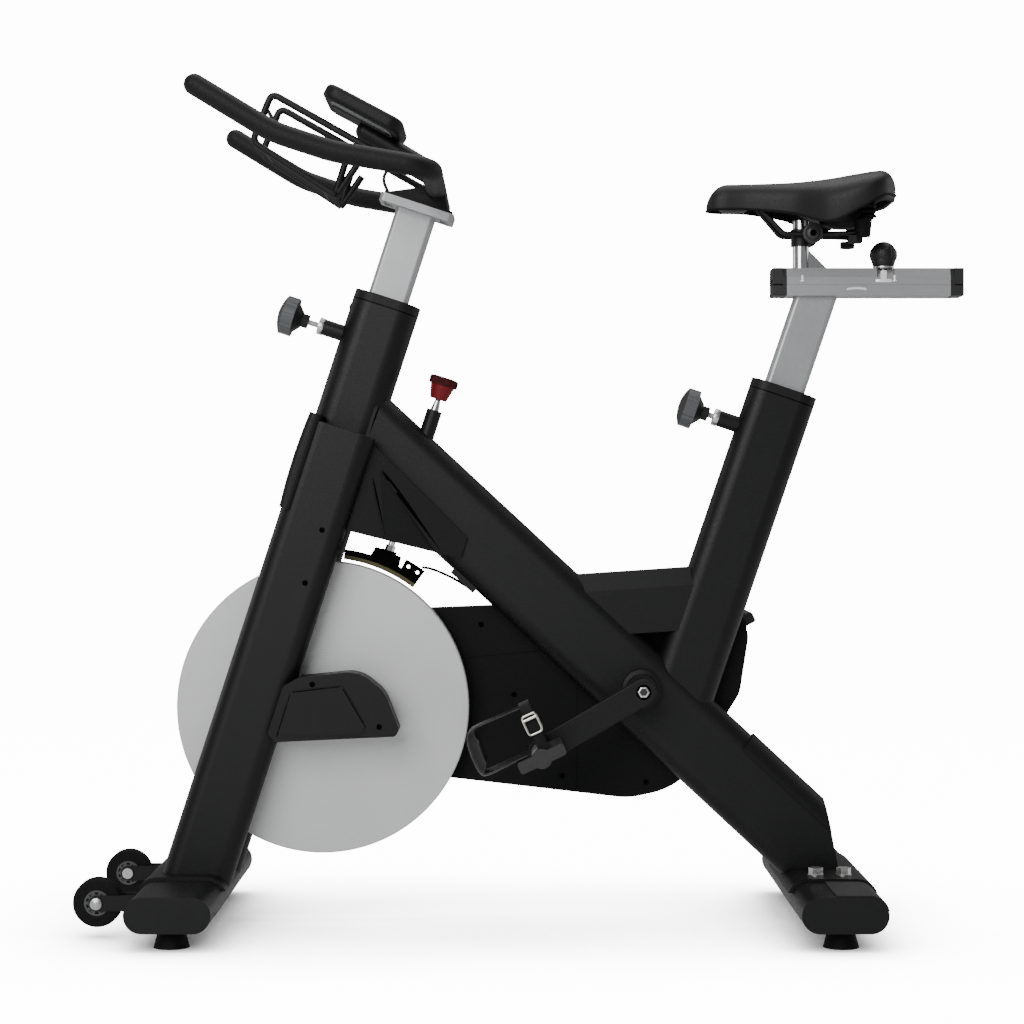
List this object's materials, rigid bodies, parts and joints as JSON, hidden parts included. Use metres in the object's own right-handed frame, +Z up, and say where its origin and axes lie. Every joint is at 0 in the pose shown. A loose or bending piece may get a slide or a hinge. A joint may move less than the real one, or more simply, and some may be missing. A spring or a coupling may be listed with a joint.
{
  "type": "exercise bike",
  "caption": "Upright indoor exercise bike with a weighted flywheel, belt drive, friction brake, adjustable handlebar and saddle posts and a wide stabiliser base.",
  "frame": {"origin": "on the floor under the middle of the bike", "axes": "+X towards the rear, +Y to the rider's right, +Z up"},
  "size_m": [1.2846, 0.508, 1.2243],
  "materials": {
    "frame_paint": "satin powder coat",
    "zinc": "zinc plated",
    "cover_plastic": "fine moulded grain",
    "belt_rubber": "matt",
    "cast_wheel": "satin, turned",
    "grip_coat": "fine grain",
    "post_silver": "satin",
    "chrome": "bright",
    "black_steel": "satin",
    "felt": "pressed felt",
    "saddle_vinyl": "soft sheen",
    "red_plastic": "gloss",
    "knob_plastic": "satin",
    "screen": "clear over a dark display",
    "foot_rubber": "matt"
  },
  "bodies": {
    "frame": {"front_stabiliser": "frame_paint", "rear_stabiliser": "frame_paint", "stabiliser_plates": "frame_paint", "frame_bolts": "zinc", "left_fork_leg": "frame_paint", "right_fork_leg": "frame_paint", "head_tube": "frame_paint", "main_tube": "frame_paint", "seat_tube": "frame_paint", "post_bushes": "cover_plastic", "bottom_bracket": "frame_paint", "crotch_brace": "frame_paint", "fork_cover": "cover_plastic", "brake_cover": "cover_plastic", "flywheel_axle": "zinc", "axle_cover": "cover_plastic", "belt_guard_inner": "cover_plastic", "belt_guard_outer": "cover_plastic", "drive_belt": "belt_rubber", "rear_tube_guard": "cover_plastic", "leaf_spring": "black_steel"},
    "flywheel": {"flywheel": "cast_wheel"},
    "crankset": {"crank_axle": "zinc", "left_crank": "frame_paint", "right_crank": "frame_paint", "drive_pulley": "cover_plastic"},
    "left_pedal": {"left_pedal": "cover_plastic", "left_toe_cage": "cover_plastic"},
    "right_pedal": {"right_pedal": "cover_plastic", "right_toe_cage": "cover_plastic"},
    "handlebar": {"handlebar_post": "post_silver", "handlebar": "grip_coat", "wire_rack": "frame_paint", "console_arm": "frame_paint", "console_housing": "cover_plastic", "console_display": "screen", "sensor_cable": "belt_rubber"},
    "console_button": {"console_button": "cover_plastic"},
    "seat_post": {"seat_post": "post_silver", "seat_rail": "post_silver"},
    "carriage": {"seat_carriage": "post_silver", "saddle_stem": "chrome", "saddle_clamp": "black_steel"},
    "clamp_knob": {"seat_clamp_knob": "knob_plastic"},
    "saddle": {"saddle_rails": "black_steel", "saddle_bumpers": "belt_rubber", "saddle_shell": "cover_plastic", "saddle_pad": "saddle_vinyl"},
    "brake": {"brake_rod": "chrome", "brake_shoe": "black_steel", "felt_pad": "felt"},
    "resistance_knob": {"resistance_knob": "red_plastic"},
    "front_pin": {"front_pin": "knob_plastic"},
    "rear_pin": {"rear_pin": "knob_plastic"},
    "left_wheel": {"left_wheel": "foot_rubber"},
    "right_wheel": {"right_wheel": "foot_rubber"},
    "front_left_foot": {"front_left_foot": "foot_rubber"},
    "front_right_foot": {"front_right_foot": "foot_rubber"},
    "rear_left_foot": {"rear_left_foot": "foot_rubber"},
    "rear_right_foot": {"rear_right_foot": "foot_rubber"}
  },
  "joints": [
    {"name": "flywheel_spin", "type": "hinge", "parent": "frame", "child": "flywheel", "pos_m": [-0.2989, 0, 0.316], "axis": [0, 1, 0], "continuous": true},
    {"name": "crank_spin", "type": "hinge", "parent": "frame", "child": "crankset", "pos_m": [0.1685, 0, 0.344], "axis": [0, 1, 0], "continuous": true},
    {"name": "left_pedal_spin", "type": "hinge", "parent": "crankset", "child": "left_pedal", "pos_m": [0.02113, -0.149, 0.25926], "axis": [0, 1, 0], "continuous": true},
    {"name": "right_pedal_spin", "type": "hinge", "parent": "crankset", "child": "right_pedal", "pos_m": [0.31587, 0.149, 0.42874], "axis": [0, 1, 0], "continuous": true},
    {"name": "handlebar_height", "type": "slide", "parent": "frame", "child": "handlebar", "axis": [0.309, 0, 0.9511], "range_m": [-0.12, 0.06]},
    {"name": "button_press", "type": "slide", "parent": "handlebar", "child": "console_button", "axis": [-0.4695, 0, -0.8829], "range_m": [0, 0.001], "stiffness_N_per_m": 1500},
    {"name": "saddle_height", "type": "slide", "parent": "frame", "child": "seat_post", "axis": [0.3223, 0, 0.9466], "range_m": [-0.11, 0.08]},
    {"name": "saddle_fore_aft", "type": "slide", "parent": "seat_post", "child": "carriage", "axis": [1, 0, 0], "range_m": [-0.095, 0.005]},
    {"name": "clamp_knob_turn", "type": "hinge", "parent": "carriage", "child": "clamp_knob", "pos_m": [0.528, 0, 0.985], "axis": [0, 0, 1], "range_deg": [-360, 360]},
    {"name": "saddle_tilt", "type": "hinge", "parent": "carriage", "child": "saddle", "pos_m": [0.42, 0, 1.011], "axis": [0, 1, 0], "range_deg": [-10, 10]},
    {"name": "brake_push", "type": "slide", "parent": "frame", "child": "brake", "axis": [-0.3057, 0, -0.9521], "range_m": [0, 0.0042], "stiffness_N_per_m": 3000, "springref_m": -0.006, "deforming": ["leaf_spring"]},
    {"name": "resistance_turn", "type": "hinge", "parent": "brake", "child": "resistance_knob", "pos_m": [-0.1349, 0, 0.7526], "axis": [0.3057, 0, 0.9521], "range_deg": [-720, 720]},
    {"name": "front_pin_pull", "type": "slide", "parent": "frame", "child": "front_pin", "axis": [-0.9511, 0, 0.309], "range_m": [0, 0.01], "stiffness_N_per_m": 1500, "springref_m": -0.004},
    {"name": "rear_pin_pull", "type": "slide", "parent": "frame", "child": "rear_pin", "axis": [-0.9466, 0, 0.3223], "range_m": [0, 0.01], "stiffness_N_per_m": 1500, "springref_m": -0.004},
    {"name": "left_wheel_spin", "type": "hinge", "parent": "frame", "child": "left_wheel", "pos_m": [-0.6076, -0.134, 0.05], "axis": [0, 1, 0], "continuous": true},
    {"name": "right_wheel_spin", "type": "hinge", "parent": "frame", "child": "right_wheel", "pos_m": [-0.6076, 0.134, 0.05], "axis": [0, 1, 0], "continuous": true},
    {"name": "front_left_level", "type": "slide", "parent": "frame", "child": "front_left_foot", "axis": [0, 0, -1], "range_m": [0, 0.012]},
    {"name": "front_right_level", "type": "slide", "parent": "frame", "child": "front_right_foot", "axis": [0, 0, -1], "range_m": [0, 0.012]},
    {"name": "rear_left_level", "type": "slide", "parent": "frame", "child": "rear_left_foot", "axis": [0, 0, -1], "range_m": [0, 0.012]},
    {"name": "rear_right_level", "type": "slide", "parent": "frame", "child": "rear_right_foot", "axis": [0, 0, -1], "range_m": [0, 0.012]}
  ],
  "couplings": [
    {"joint": "crank_spin", "follows": "flywheel_spin", "ratio": 0.30476}
  ]
}
